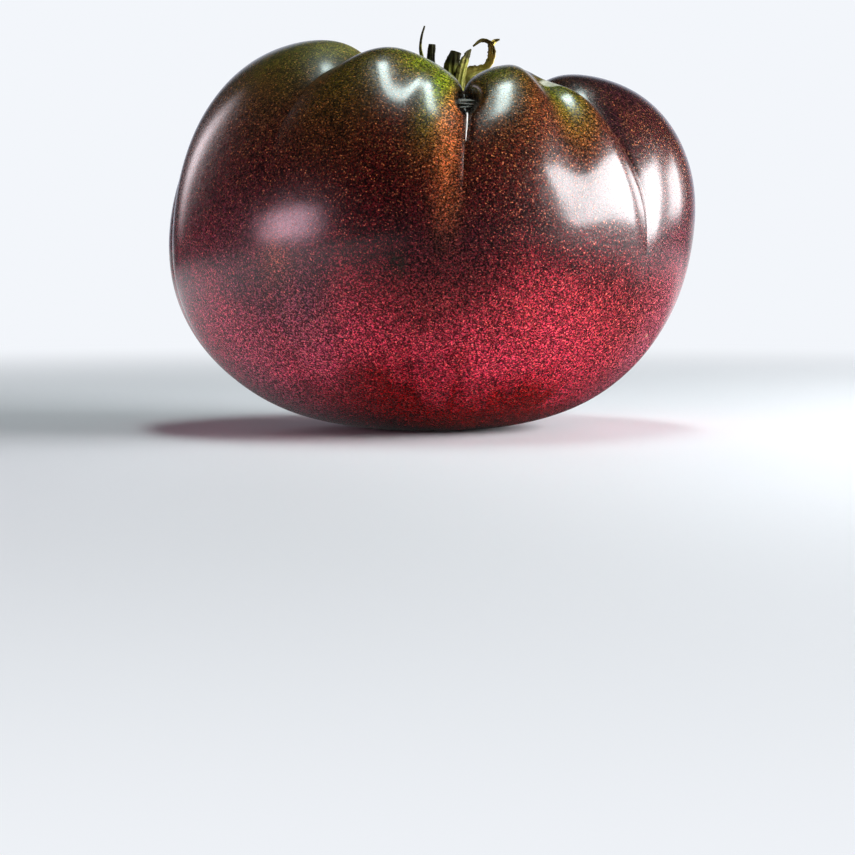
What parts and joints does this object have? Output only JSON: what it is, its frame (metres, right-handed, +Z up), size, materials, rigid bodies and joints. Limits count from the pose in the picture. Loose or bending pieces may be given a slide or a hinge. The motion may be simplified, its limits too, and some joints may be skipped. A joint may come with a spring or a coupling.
{
  "type": "beefsteak tomato",
  "caption": "Ripe dark heirloom tomato with deep ribs on its shoulders and a half dried green calyx, resting on its blossom end.",
  "frame": {"origin": "middle of the small flat spot at the blossom end that the fruit rests on", "axes": "+Z up along the fruit, +X along its widest extent to the low lobe on the right, -Y towards the side with the closed crease"},
  "size_m": [0.1096, 0.1001, 0.0837],
  "materials": {
    "skin": "waxy gloss skin, olive brown to green at the shoulders, crimson below",
    "calyx": "matt, finely hairy, half dried leaf"
  },
  "bodies": {
    "root": {"fruit": "skin", "calyx": "calyx"}
  },
  "joints": []
}
